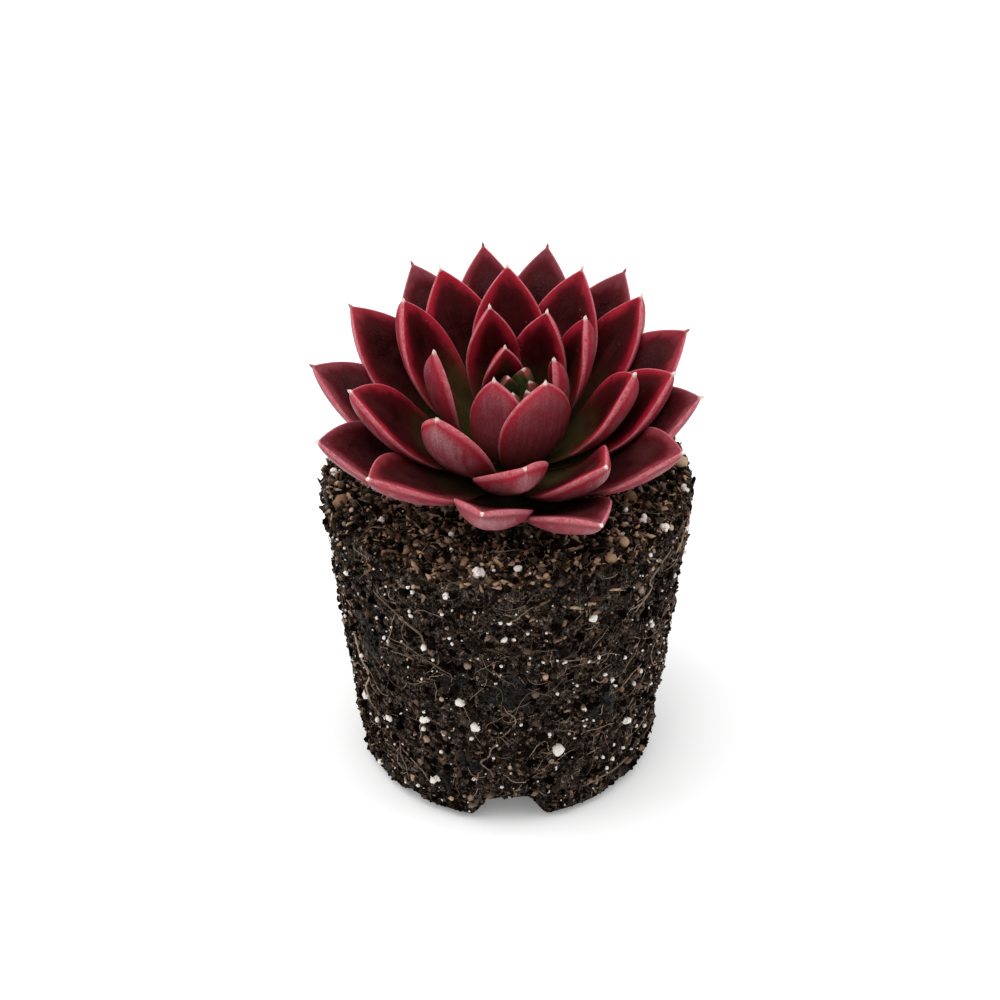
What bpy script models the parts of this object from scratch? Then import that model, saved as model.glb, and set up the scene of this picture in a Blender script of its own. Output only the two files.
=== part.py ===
"""A red echeveria rosette growing from its bare plug of potting mix.

The plug keeps the round, tapered shape of the 10.5 cm nursery pot that it was slid out of. A short crown stem
stands in a plain hole in its top, the leaves spring from the stem in a golden-angle order, and a bud of small
fused leaves closes the middle. All sizes are in millimetres, and put_in_scene turns them into metres. The axis
points up, and the viewer of the reference picture stands on the -Y side.
"""
import math

import bmesh
import bpy
import numpy as np
from mathutils.bvhtree import BVHTree

# Plug of mix
PLUG_HEIGHT = 86.0
RIM_RADIUS = 48.8
WALL_FOOT_RADIUS = 38.4
FOOT_EDGE_DROP = 1.8
RIM_ROUNDING = 2.6
RIM_DROP = 1.1
PLUG_SEGMENTS = 72
WALL_HEIGHTS = (2.6, 6.2, 10.4, 15.4, 21.0, 26.8, 32.6, 38.4, 44.2, 50.0, 55.8, 61.6, 67.4, 73.0, 78.2, 82.4)
TOP_RADII = (46.6, 42.0, 34.0, 22.0)
HOLE_RADIUS = 6.6
HOLE_DEPTH = 24.0
LUMP_SIZE = 0.32
CRUMB_SIZE = 0.42

# Notches in the plug's lower edge: direction of the middle, half angle and depth
FOOT_NOTCHES = ((271.0, 13.0, 9.6), (229.0, 4.5, 3.6), (319.0, 6.0, 2.6), (352.0, 7.0, 2.2), (193.0, 8.0, 2.6),
                (48.0, 8.0, 3.0), (90.0, 10.0, 8.0), (136.0, 7.0, 2.8))

# Larger grains on the wall: direction, height and size; and on the top: direction, distance from the axis and size
WALL_GRAINS = ((298, 71.0, 1.9), (254, 44.0, 2.1), (259, 35.0, 1.7), (240, 34.0, 1.6), (222, 27.0, 1.4),
               (242, 12.5, 1.9), (289, 26.0, 2.3), (319, 25.5, 1.7), (251, 82.0, 1.5), (312, 52.0, 1.5))
TOP_GRAINS = ((260, 42.5, 1.8), (273, 40.0, 1.6), (195, 44.5, 2.0), (212, 38.0, 1.7), (331, 45.5, 1.7),
              (306, 44.5, 1.6), (353, 46.0, 1.9), (330, 40.0, 1.7), (342, 33.5, 1.7), (241, 30.0, 1.5),
              (315, 42.0, 1.6), (160, 45.5, 1.8), (178, 45.0, 1.6), (8, 45.5, 2.0))
SCATTERED_ON_WALL = 12
SCATTERED_ON_TOP = 6
GRAIN_SINK = 0.15

# Roots that run over the wall: from (direction, height) to (direction, height)
WALL_ROOTS = ((294, 68.0, 287, 54.0), (263, 31.0, 264, 16.0), (326, 10.0, 298, 8.0), (330, 81.0, 313, 66.0),
              (226, 74.0, 246, 60.0), (205, 50.0, 214, 26.0), (60, 72.0, 84, 44.0), (146, 60.0, 120, 24.0))
ROOT_RADIUS = 0.6

# Crown
CROWN_X = 1.0
CROWN_Y = 0.7
LEAN_TO_FRONT = 8.7
LEAN_TO_RIGHT = 0.8
STEM_RADIUS = 6.0
STEM_TIP_RADIUS = 2.4
STEM_TOP = 14.6
GAP = 0.3

# Leaves from the lowest to the highest: direction and reach of the tip from the crown's axis, width, slope of the
# blade at its tip, how far the base is turned from the tip's direction, and how far the blade is rolled
LEAVES = (
    (294, 54.0, 21.0, 22, 0, -4), (80, 52.0, 22.0, 46, 0, 0), (203, 54.0, 22.0, 30, 0, -22),
    (350, 48.5, 22.0, 32, 0, 24), (123, 49.0, 22.0, 38, 0, -20), (261, 50.0, 20.0, 36, 0, -3),
    (53, 48.5, 22.0, 42, 0, 14), (175, 52.0, 22.0, 36, 0, -14), (328, 50.5, 22.0, 28, 0, 18),
    (99, 51.5, 21.0, 46, 0, 0), (225, 51.5, 20.0, 30, 0, -10), (19, 47.5, 22.0, 36, 0, 20),
    (150, 49.0, 22.0, 42, 0, -8), (302, 43.5, 21.0, 40, 0, 24), (62, 38.0, 20.0, 54, 0, 4),
    (195, 43.0, 21.0, 46, 0, -14), (354, 41.0, 21.0, 48, 0, 20), (120, 38.5, 20.5, 52, 0, -8),
    (37, 41.5, 18.5, 62, 0, -4), (93, 33.5, 19.5, 62, 0, 0), (231, 31.0, 20.0, 68, 0, 12),
    (145, 35.0, 18.0, 72, 0, 4), (274, 39.5, 19.0, 52, -8, 24), (63, 19.0, 16.0, 75, 0, 0),
    (347, 31.5, 19.5, 63, 0, 10), (109, 19.5, 15.0, 75, 0, 0), (37, 23.0, 16.0, 80, 0, -24),
    (177, 20.5, 15.5, 80, 0, 26), (319, 11.0, 20.0, 90, -24, 0), (108, 7.5, 11.5, 90, 0, 0),
    (225, 7.5, 16.0, 95, 30, 0), (8, 10.5, 11.5, 90, 0, 0))
LOWEST_BASE = 3.3
HIGHEST_BASE = 9.0
LOWEST_SLOPE = 2.0
HIGHEST_SLOPE = 40.0
BASE_HANDLE = 0.4
TIP_HANDLE = 0.34
LEAF_THICKNESS = 5.6
LEAF_CUP = 1.4
LEAF_CHANNEL = 0.3
MUCRO_LENGTH = 1.0
MUCRO_RADIUS = 0.34

# Bud: direction, reach, tip height, width
BUD_LEAVES = ((62, 5.2, 33.0, 7.6), (110, 3.4, 31.4, 6.4), (340, 3.6, 31.0, 6.4), (200, 3.4, 30.4, 6.4),
              (265, 1.6, 30.4, 7.4), (20, 4.4, 31.6, 6.0))
BUD_CORE_RADIUS = 2.2


def crown_axes():
    """The crown's own right, back and up directions."""
    lean = math.radians(LEAN_TO_FRONT)
    side = math.radians(LEAN_TO_RIGHT)
    up = np.array([math.sin(side), -math.sin(lean) * math.cos(side), math.cos(lean) * math.cos(side)])
    right = np.array([math.cos(side), 0.0, -math.sin(side)])
    right -= up * (right @ up)
    right /= np.linalg.norm(right)
    return right, np.cross(up, right), up


RIGHT, BACK, UP = crown_axes()
CROWN = np.array([CROWN_X, CROWN_Y, PLUG_HEIGHT])


def tip_height(reach):
    """The leaf tips lie on a shallow cup above the soil."""
    return 36.0 + 0.39 * reach - 0.00016 * reach ** 3


def stem_radius(height):
    """Radius of the stem at a height above the soil."""
    share = min(max((height - 3.0) / (STEM_TOP - 3.0), 0.0), 1.0)
    return STEM_RADIUS + (STEM_TIP_RADIUS - STEM_RADIUS) * share


def width_share(s):
    """Half width along the blade: broad at the base, widest in the middle, then a pointed tip."""
    widest = 0.56
    base = 0.55
    if s < widest:
        return base + (1.0 - base) * math.sin(0.5 * math.pi * s / widest) ** 1.5
    return 1.0 - ((s - widest) / (1.0 - widest)) ** 2.05


def depth_share(s):
    """Depth of the underside along the blade: thin at the base, full to near the tip, then curving up."""
    deepest = 0.7
    base = 0.26
    if s < deepest:
        return base + (1.0 - base) * math.sin(0.5 * math.pi * s / deepest) ** 1.6
    return max(1.0 - ((s - deepest) / (1.0 - deepest)) ** 2.8, 0.0) ** 0.8


class Leaf:
    """One fleshy blade: a curved middle line, a flat upper face and a rounded underside with a faint keel."""

    def __init__(self, direction, start, tip, width, thickness, slopes, cup=0.0, turn=0.0, roll=0.0):
        angle = math.radians(direction + turn)
        self.out = np.array([math.cos(angle), math.sin(angle)])
        self.drift = -tip[0] * math.sin(math.radians(turn))
        self.half_width = 0.5 * width
        self.thickness = thickness
        self.cup = cup
        self.roll = math.radians(roll)
        start = np.array(start)
        tip = np.array([tip[0] * math.cos(math.radians(turn)), tip[1]])
        chord = np.linalg.norm(tip - start)
        low, high = (np.array([math.cos(math.radians(a)), math.sin(math.radians(a))]) for a in slopes)
        self.knots = (start, start + low * chord * BASE_HANDLE, tip - high * chord * TIP_HANDLE, tip)

    def middle(self, s):
        """Point, upward direction and run of the middle line, a cubic curve in (reach, height)."""
        a, b, c, d = self.knots
        r = 1.0 - s
        point = r ** 3 * a + 3.0 * r * r * s * b + 3.0 * r * s * s * c + s ** 3 * d
        run = r * r * (b - a) + 2.0 * r * s * (c - b) + s * s * (d - c)
        run = run / np.linalg.norm(run)
        return point, np.array([-run[1], run[0]]), run

    def place(self, point, across):
        """(reach, height) and a sideways distance turned into world millimetres."""
        flat = self.out * point[0] + np.array([-self.out[1], self.out[0]]) * across
        return CROWN + RIGHT * flat[0] + BACK * flat[1] + UP * point[1]

    def section(self, s, outline):
        """World points of the cross-section at s, where outline lists (share of width, height) pairs."""
        point, lift, _ = self.middle(s)
        half = max(self.half_width * width_share(s), MUCRO_RADIUS)
        deep = max(self.thickness * depth_share(s), 2.0 * MUCRO_RADIUS)
        flat = min(half / self.half_width, 1.0)
        roll = self.roll * s
        points = []
        for across, top, keel in outline:
            rise = top * (0.12 * deep + 0.5 * MUCRO_RADIUS - LEAF_CHANNEL * flat * (1.0 - across ** 2))
            rise += self.cup * flat * across ** 2 * min(2.0 * s, 1.0) - 0.88 * keel * deep
            sideways = half * across * math.cos(roll) - rise * math.sin(roll)
            upwards = half * across * math.sin(roll) + rise * math.cos(roll)
            points.append(self.place(point + lift * upwards, sideways + self.drift * s * s))
        return points


# Cross-section: share of the half width, upper rise share and depth share of each point, round the blade
BLADE_OUTLINE = ((1.0, 0.0, 0.06), (0.82, 1.0, 0.0), (0.0, 1.0, 0.0), (-0.82, 1.0, 0.0), (-1.0, 0.0, 0.06),
                 (-0.84, 0.0, 0.5), (-0.46, 0.0, 0.88), (0.0, 0.0, 1.0), (0.46, 0.0, 0.88), (0.84, 0.0, 0.5))
BLADE_STATIONS = (0.0, 0.12, 0.27, 0.43, 0.6, 0.74, 0.85, 0.93, 0.975, 1.0)
BUD_OUTLINE = ((1.0, 0.0, 0.06), (0.0, 1.0, 0.0), (-1.0, 0.0, 0.06), (-0.6, 0.0, 0.75), (0.0, 0.0, 1.0),
               (0.6, 0.0, 0.75))
BUD_STATIONS = (0.0, 0.3, 0.6, 0.82, 1.0)


def blade_mesh(leaf, stations=BLADE_STATIONS, outline=BLADE_OUTLINE):
    """Closed mesh of one blade with its small spike."""
    points = []
    faces = []
    count = len(outline)
    for s in stations:
        points += leaf.section(s, outline)
    for row in range(len(stations) - 1):
        for k in range(count):
            after = (k + 1) % count
            faces.append((row * count + k, row * count + after, (row + 1) * count + after, (row + 1) * count + k))
    faces.append(tuple(reversed(range(count))))
    end, _, run = leaf.middle(1.0)
    points.append(leaf.place(end + run * MUCRO_LENGTH, leaf.drift))
    last = (len(stations) - 1) * count
    for k in range(count):
        faces.append((last + k, last + (k + 1) % count, len(points) - 1))
    return points, faces


def put_in_scene(name, points, faces, material, smooth):
    """Adds a mesh, given in millimetres, as an object in metres with outward faces."""
    mesh = bpy.data.meshes.new(name)
    mesh.from_pydata([tuple(float(c) * 0.001 for c in p) for p in points], [], faces)
    mesh.validate()
    mesh.materials.append(material)
    mesh.update()
    obj = bpy.data.objects.new(name, mesh)
    bpy.context.scene.collection.objects.link(obj)
    face_outwards(obj)
    if smooth:
        mesh.shade_smooth()
    return obj


def face_outwards(obj):
    """Turns every face of a closed mesh round when it encloses a negative volume."""
    mesh = obj.data
    mesh.calc_loop_triangles()
    co = np.empty(len(mesh.vertices) * 3)
    mesh.vertices.foreach_get("co", co)
    tris = np.empty(len(mesh.loop_triangles) * 3, int)
    mesh.loop_triangles.foreach_get("vertices", tris)
    corners = co.reshape(-1, 3)[tris.reshape(-1, 3)]
    volume = np.einsum("ij,ij->i", corners[:, 0], np.cross(corners[:, 1], corners[:, 2])).sum()
    if volume < 0:
        mesh.flip_normals()


def make_material(name, colour, roughness, metallic=0.0):
    material = bpy.data.materials.new(name)
    material.use_nodes = True
    shader = material.node_tree.nodes["Principled BSDF"]
    shader.inputs["Base Color"].default_value = (*colour, 1.0)
    shader.inputs["Roughness"].default_value = roughness
    shader.inputs["Metallic"].default_value = metallic
    return material


def unite(main, others):
    """Joins helper objects into one body and removes them."""
    group = bpy.data.collections.new(main.name + "_pieces")
    bpy.context.scene.collection.children.link(group)
    for other in others:
        bpy.context.scene.collection.objects.unlink(other)
        group.objects.link(other)
    join = main.modifiers.new("join", "BOOLEAN")
    join.operation = "UNION"
    join.operand_type = "COLLECTION"
    join.collection = group
    join.solver = "MANIFOLD"
    bpy.context.view_layer.objects.active = main
    bpy.ops.object.modifier_apply(modifier=join.name)
    for other in others:
        bpy.data.objects.remove(other)
    bpy.data.collections.remove(group)


def swollen_copy(obj, by):
    """A helper copy of a closed body with its surface moved outwards."""
    copy = obj.copy()
    copy.data = obj.data.copy()
    copy.name = obj.name + "_swollen"
    bpy.context.scene.collection.objects.link(copy)
    mesh = copy.data
    count = len(mesh.vertices)
    points = np.empty(count * 3)
    normals = np.empty(count * 3)
    mesh.vertices.foreach_get("co", points)
    mesh.vertex_normals.foreach_get("vector", normals)
    mesh.vertices.foreach_set("co", points + normals * by)
    mesh.update()
    return copy


def tree_of(obj):
    mesh = obj.data
    return BVHTree.FromPolygons([v.co for v in mesh.vertices], [p.vertices for p in mesh.polygons])


def press(lower, upper):
    """Dents the lower leaf where the upper one lies on it, so that the two keep a small gap."""
    cutter = swollen_copy(upper, GAP * 0.001)
    if tree_of(lower).overlap(tree_of(cutter)):
        cut = lower.modifiers.new("press", "BOOLEAN")
        cut.operation = "DIFFERENCE"
        cut.object = cutter
        cut.solver = "MANIFOLD"
        bpy.context.view_layer.objects.active = lower
        bpy.ops.object.modifier_apply(modifier=cut.name)
    bpy.data.objects.remove(cutter)


def drop_slivers(obj):
    """Keeps only the largest connected body of a pressed leaf."""
    work = bmesh.new()
    work.from_mesh(obj.data)
    left = set(work.verts)
    bodies = []
    while left:
        reached = [left.pop()]
        for vert in reached:
            near = {edge.other_vert(vert) for edge in vert.link_edges} & left
            left -= near
            reached += near
        bodies.append(reached)
    largest = max(bodies, key=len)
    for body in bodies:
        if body is not largest:
            bmesh.ops.delete(work, geom=body, context="VERTS")
    work.to_mesh(obj.data)
    work.free()


def make_leaf(index):
    """Leaf number index, counted from the lowest."""
    direction, reach, width, tip_slope, turn, roll = LEAVES[index]
    share = index / (len(LEAVES) - 1)
    base_height = LOWEST_BASE + (HIGHEST_BASE - LOWEST_BASE) * share
    base_slope = LOWEST_SLOPE + (HIGHEST_SLOPE - LOWEST_SLOPE) * share
    start = (stem_radius(base_height) + GAP + 0.5, base_height)
    tip = (reach - 0.4, tip_height(reach) - 0.5)
    thickness = LEAF_THICKNESS * min(1.0, 0.6 + 0.012 * reach)
    cup = LEAF_CUP * width / 20.0
    return Leaf(direction, start, tip, width, thickness, (base_slope, tip_slope), cup, turn, roll)


def make_bud(material):
    """The small unopened leaves in the middle, fused into one body on a short core."""
    leaves = []
    for number, (direction, reach, height, width) in enumerate(BUD_LEAVES):
        leaf = Leaf(direction, (0.9, STEM_TOP + GAP + 0.6), (reach, height), width, width * 0.6, (60.0, 86.0))
        points, faces = blade_mesh(leaf, BUD_STATIONS, BUD_OUTLINE)
        leaves.append(put_in_scene(f"bud_leaf_{number}", points, faces, material, True))
    rings = ((0.0, BUD_CORE_RADIUS), (3.0, BUD_CORE_RADIUS * 1.1), (7.0, BUD_CORE_RADIUS * 0.9), (10.0, 0.8))
    core = lathe("centre_bud", [(r, STEM_TOP + GAP + h) for h, r in rings], 10, material, crown_point)
    unite(core, leaves)
    return core


def crown_point(reach, angle, height):
    return CROWN + RIGHT * reach * math.cos(angle) + BACK * reach * math.sin(angle) + UP * height


def lathe(name, profile, segments, material, place):
    """A closed round body from (radius, height) pairs, capped flat at both ends."""
    points = []
    for radius, height in profile:
        points += [place(radius, 2.0 * math.pi * k / segments, height) for k in range(segments)]
    faces = [tuple(reversed(range(segments)))]
    for row in range(len(profile) - 1):
        for k in range(segments):
            after = (k + 1) % segments
            faces.append((row * segments + k, row * segments + after, (row + 1) * segments + after,
                          (row + 1) * segments + k))
    last = (len(profile) - 1) * segments
    faces.append(tuple(range(last, last + segments)))
    return put_in_scene(name, points, faces, material, True)


def make_stem(material):
    """The crown stem above the soil and its tap root in the plug's hole."""
    root = ((2.2, -HOLE_DEPTH + GAP), (4.0, -HOLE_DEPTH + 6.0), (5.4, -10.0), (STEM_RADIUS, -2.0))
    crown = [(stem_radius(h), h) for h in (1.5, 4.0, 9.0, STEM_TOP - 1.0)] + [(STEM_TIP_RADIUS - 0.9, STEM_TOP)]

    def place(radius, angle, height):
        straight = CROWN + np.array([radius * math.cos(angle), radius * math.sin(angle), height])
        return straight if height < 0 else crown_point(radius, angle, height)

    return lathe("stem", list(root) + crown, 14, material, place)


def lumps(angle, height):
    """Smooth unevenness of the plug's surface, the same on every run."""
    total = 0.0
    for k, (turns, rate) in enumerate(((3, 0.07), (5, 0.16), (8, 0.21), (11, 0.33), (7, -0.26), (13, 0.12),
                                       (17, -0.4), (10, -0.52), (21, 0.27))):
        total += math.cos(turns * angle + rate * height + 1.9 * k * k)
    return total * LUMP_SIZE / 3.0


def foot_cut(angle):
    """How far the lower edge is broken back in this direction."""
    degrees = math.degrees(angle) % 360.0
    cut = FOOT_EDGE_DROP
    for middle, half, depth in FOOT_NOTCHES:
        away = abs((degrees - middle + 180.0) % 360.0 - 180.0)
        if away < half * 1.25:
            cut = max(cut, depth * min(1.0, (half * 1.25 - away) / (half * 0.4)))
    return cut


def wall_radius(angle, height):
    """Radius of the plug's wall, with the foot notches and the rounded rim."""
    straight = WALL_FOOT_RADIUS + (RIM_RADIUS - WALL_FOOT_RADIUS) * height / PLUG_HEIGHT
    foot = WALL_FOOT_RADIUS - foot_cut(angle) + 1.05 * height
    rim = max(0.0, height - (PLUG_HEIGHT - 5.0)) / 5.0
    return min(straight, foot) - RIM_ROUNDING * rim ** 2.2


def share_from_hole(radius):
    """Nought at the hole's edge, one a little way out: the top is smooth round the hole."""
    return min(1.0, (radius - HOLE_RADIUS) / 12.0)


def top_height(angle, radius):
    """Height of the plug's top, which drops a little towards the rim."""
    edge = max(0.0, (radius - TOP_RADII[1]) / (TOP_RADII[0] - TOP_RADII[1]))
    return PLUG_HEIGHT - RIM_DROP * edge + 1.4 * lumps(angle, 3.0 * radius) * share_from_hole(radius)


def make_root_ball(material):
    """The plug: crumbly wall, uneven top with a plain hole, and a flat underside with notches round its edge."""
    chance = np.random.default_rng(7)
    n = PLUG_SEGMENTS
    angles = [2.0 * math.pi * k / n for k in range(n)]
    rings = []
    for radius in (14.0, 26.0):
        rings.append([(radius, 0.0)] * n)
    rings.append([(WALL_FOOT_RADIUS - foot_cut(a), 0.0) for a in angles])
    for height in WALL_HEIGHTS:
        rough = chance.normal(0.0, CRUMB_SIZE, n)
        ring = []
        for k, a in enumerate(angles):
            swing = lumps(a, height) + rough[k]
            ring.append((wall_radius(a, height) + swing * min(1.0, height / 6.0), height))
        rings.append(ring)
    for radius in TOP_RADII:
        rough = chance.normal(0.0, CRUMB_SIZE, n)
        ring = []
        for k, a in enumerate(angles):
            near_hole = share_from_hole(radius)
            edge = 1.0 if radius == TOP_RADII[0] else 0.0
            ring.append((radius + 0.6 * rough[k] * edge, top_height(a, radius) + rough[k] * near_hole))
        rings.append(ring)
    rings.append([(HOLE_RADIUS, PLUG_HEIGHT - 0.3)] * n)
    rings.append([(HOLE_RADIUS, PLUG_HEIGHT - HOLE_DEPTH)] * n)
    points = []
    for number, ring in enumerate(rings):
        hole = number >= len(rings) - 2
        for (radius, height), a in zip(ring, angles):
            shift = CROWN_X if hole else 0.0
            back = CROWN_Y if hole else 0.0
            points.append((radius * math.cos(a) + shift, radius * math.sin(a) + back, height))
    faces = [tuple(reversed(range(n)))]
    for row in range(len(rings) - 1):
        for k in range(n):
            after = (k + 1) % n
            faces.append((row * n + k, row * n + after, (row + 1) * n + after, (row + 1) * n + k))
    last = (len(rings) - 1) * n
    faces.append(tuple(range(last, last + n)))
    ball = put_in_scene("root_ball", points, faces, material, True)
    unite(ball, plug_grains(material, chance) + plug_roots(material))
    return ball


def grain(centre, size, material, chance):
    """A small uneven stone: an icosahedron with jittered corners."""
    golden = 0.5 * (1.0 + math.sqrt(5.0))
    corners = []
    for a in (-1.0, 1.0):
        for b in (-golden, golden):
            corners += [(0.0, a, b), (a, b, 0.0), (b, 0.0, a)]
    corners = np.array(corners) / math.hypot(1.0, golden)
    stretch = chance.uniform(0.8, 1.2, 3)
    points = [np.array(centre) + c * stretch * size * chance.uniform(0.85, 1.1) for c in corners]
    return put_in_scene("grain", points, icosahedron_faces(corners), material, True)


def icosahedron_faces(corners):
    """The twenty triangles of an icosahedron, found by its edge length, all facing out."""
    count = len(corners)
    edge = min(np.linalg.norm(corners[0] - corners[k]) for k in range(1, count)) * 1.01
    faces = []
    for i in range(count):
        for j in range(i + 1, count):
            for k in range(j + 1, count):
                sides = [np.linalg.norm(corners[u] - corners[v]) for u, v in ((i, j), (j, k), (i, k))]
                if max(sides) < edge:
                    normal = np.cross(corners[j] - corners[i], corners[k] - corners[i])
                    faces.append((i, j, k) if normal @ corners[i] > 0 else (i, k, j))
    return faces


def on_wall(degrees, height, out):
    """A point on the plug's wall, moved outwards."""
    angle = math.radians(degrees)
    radius = wall_radius(angle, height) + lumps(angle, height) * min(1.0, height / 6.0) + out
    return radius * math.cos(angle), radius * math.sin(angle), height


def on_top(degrees, radius, above):
    """A point on the plug's top, moved up."""
    angle = math.radians(degrees)
    return radius * math.cos(angle), radius * math.sin(angle), top_height(angle, radius) + above


def plug_grains(material, chance):
    """Grains that stand out of the plug, sunk more than half way in."""
    made = []
    wall = list(WALL_GRAINS)
    for _ in range(SCATTERED_ON_WALL):
        wall.append((chance.uniform(0, 360), chance.uniform(10.0, 80.0), chance.uniform(1.2, 1.9)))
    for degrees, height, size in wall:
        made.append(grain(on_wall(degrees, height, -size * GRAIN_SINK), size, material, chance))
    top = list(TOP_GRAINS)
    for _ in range(SCATTERED_ON_TOP):
        top.append((chance.uniform(0, 360), chance.uniform(30.0, 45.0), chance.uniform(1.2, 1.8)))
    for degrees, radius, size in top:
        made.append(grain(on_top(degrees, radius, -size * GRAIN_SINK), size, material, chance))
    return made


def plug_roots(material):
    """Thin roots half sunk in the wall."""
    made = []
    steps = 8
    sides = 5
    for number, (degrees_a, height_a, degrees_b, height_b) in enumerate(WALL_ROOTS):
        line = []
        for k in range(steps):
            share = k / (steps - 1)
            sway = 2.5 * math.sin(2.0 * math.pi * share + number)
            degrees = degrees_a + (degrees_b - degrees_a) * share + sway
            height = height_a + (height_b - height_a) * share
            ends = 1.4 if k in (0, steps - 1) else 0.0
            line.append(np.array(on_wall(degrees, height, 0.15 - ends)))
        points = []
        for k, here in enumerate(line):
            run = line[min(k + 1, steps - 1)] - line[max(k - 1, 0)]
            run /= np.linalg.norm(run)
            out = np.array([here[0], here[1], 0.0])
            out -= run * (out @ run)
            out /= np.linalg.norm(out)
            side = np.cross(run, out)
            for turn in range(sides):
                a = 2.0 * math.pi * turn / sides
                points.append(here + ROOT_RADIUS * (out * math.cos(a) + side * math.sin(a)))
        faces = [tuple(reversed(range(sides))), tuple(range((steps - 1) * sides, steps * sides))]
        for row in range(steps - 1):
            for k in range(sides):
                after = (k + 1) % sides
                faces.append((row * sides + k, row * sides + after, (row + 1) * sides + after,
                              (row + 1) * sides + k))
        made.append(put_in_scene(f"root_{number}", points, faces, material, True))
    return made


def main():
    for obj in list(bpy.data.objects):
        bpy.data.objects.remove(obj)
    soil = make_material("potting_mix", (0.035, 0.022, 0.014), 0.95)
    bark = make_material("stem_skin", (0.16, 0.1, 0.05), 0.8)
    flesh = make_material("leaf_flesh", (0.22, 0.02, 0.035), 0.4)
    heart = make_material("bud_flesh", (0.16, 0.09, 0.035), 0.4)
    make_root_ball(soil)
    make_stem(bark)
    blades = []
    for index in range(len(LEAVES)):
        points, faces = blade_mesh(make_leaf(index))
        blades.append(put_in_scene(f"leaf_{index + 1:02d}", points, faces, flesh, True))
    blades.append(make_bud(heart))
    for index, lower in enumerate(blades):
        for upper in blades[index + 1:]:
            press(lower, upper)
        drop_slivers(lower)


main()
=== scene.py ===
"""Looks of a red echeveria rosette on its bare plug of potting mix.

The leaves repeat the blade formula of the solid model with a finer mesh, rounded margins and small
spikes. The plug gets a crumbly surface with crumbs, bark bits, perlite, tan grains and roots of its own.
Sizes are in millimetres until add_piece turns them into metres.
"""

import math

import bmesh
import bpy
import numpy as np
from mathutils import Matrix, Vector, noise
from mathutils.bvhtree import BVHTree


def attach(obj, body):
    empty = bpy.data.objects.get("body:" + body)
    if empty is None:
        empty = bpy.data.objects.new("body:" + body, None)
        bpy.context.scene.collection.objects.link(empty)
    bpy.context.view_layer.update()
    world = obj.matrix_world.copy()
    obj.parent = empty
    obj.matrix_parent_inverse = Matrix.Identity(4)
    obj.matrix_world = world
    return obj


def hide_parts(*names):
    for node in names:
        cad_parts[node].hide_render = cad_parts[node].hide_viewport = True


MILLIMETRE = 0.001
TURN = 2.0 * math.pi

# Plug of mix
PLUG_HEIGHT = 86.0
RIM_RADIUS = 48.8
WALL_FOOT_RADIUS = 38.4
FOOT_EDGE_DROP = 1.8
RIM_ROUNDING = 2.6
RIM_DROP = 1.1
HOLE_RADIUS = 6.6
HOLE_DEPTH = 24.0
LUMP_SIZE = 0.32
FOOT_NOTCHES = ((271, 13, 9.6), (229, 4.5, 3.6), (319, 6, 2.6), (352, 7, 2.2),
                (193, 8, 2.6), (48, 8, 3), (90, 10, 8), (136, 7, 2.8))

# Rings of the plug's surface
AROUND = 330
WALL_ROWS = 92
TOP_ROWS = 46
FOOT_RINGS = (12.0, 24.0)
LOWEST_WALL_RING = 0.7
WALL_RING_DROP = 1.6
TOP_EDGE_RADIUS = 46.9

# Crumbly relief: cell size and depth
WALL_RELIEF = ((3.4, 0.7), (1.7, 0.9), (1.05, 0.5))
TOP_RELIEF = ((5.0, 1.4), (2.3, 1.2), (1.2, 0.6))

# Larger grains: direction, height on the wall (or distance from the axis on the top), size
WALL_PERLITE = ((298, 71, 1.5), (254, 44, 1.9), (259, 35, 1.5), (240, 34, 1.5), (222, 27, 1.2),
                (242, 12.5, 1.7), (289, 26, 2.1), (319, 25.5, 1.4), (251, 82, 1.2))
TOP_PERLITE = ((260, 42.5, 1.7), (273, 40, 1.5), (331, 45.5, 1.5), (330, 40, 1.4), (241, 30, 1.2),
               (212, 38, 1.2), (353, 46, 1.2), (178, 45, 1.4), (160, 45.5, 1.5))
TOP_STONES = ((195, 44.5, 2), (306, 44.5, 1.5), (342, 33.5, 1.8), (315, 42, 1.4), (8, 45.5, 2))
PERLITE_LOBES = 3

# Crumbs: piece, small and larger ones on the wall, the same on the top, share of light ones, seed
# The top's higher share of light crumbs is partly painted light against the leaves' shade.
CRUMBS = (("crumbs_on_wall", (8200, 1300), (0, 0), 0.7, 11),
          ("crumbs_on_top", (0, 0), (3900, 1400), 1.0, 16))
CRUMB_RADII = ((0.20, 0.62), (0.6, 1.3))

# Smaller bits: how many on the wall and on the top
BARK_COUNTS = (2000, 3200)
PERLITE_COUNTS = (700, 100)
STONE_COUNTS = (50, 110)
HIGHEST_BIT = 84.0

# Above this height the mix holds more brown bark
# There its bits are also lighter, partly as painted light against the leaves' shade.
BROWN_LEVEL = 75.0

# Roots that run over the wall: from (direction, height) to (direction, height)
WALL_ROOTS = ((294, 68, 287, 54), (263, 31, 264, 16), (326, 10, 298, 8),
              (330, 81, 313, 66), (226, 74, 246, 60), (205, 50, 214, 26),
              (60, 72, 84, 44), (146, 60, 120, 24))
ROOT_RADIUS = 0.28
MEAN_WALL_RADIUS = 44.0
LOWEST_ROOT = 7.0
HIGHEST_ROOT = PLUG_HEIGHT - 2.5
ROOT_RIM = 46.5
INNERMOST_ROOT = 20.0
FINE_ROOT_COUNTS = (520, 220)
FINE_ROOT_RADII = (0.04, 0.1)
FINE_ROOT_STRIDES = (0.5, 0.9)

# Smooth pressed patches on the wall: direction, height, half width and half height
PRESSED_PATCHES = ((272, 47, 9, 6.5), (251, 50, 4, 3.4), (258, 20, 4.5, 3.5), (246, 14, 4, 3),
                   (216, 52, 4, 8), (305, 36, 5, 4), (80, 52, 9, 7), (140, 38, 7, 6), (20, 30, 7, 5),
                   (180, 60, 6, 5))
PATCH_WALL_RADIUS = 43.0

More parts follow.
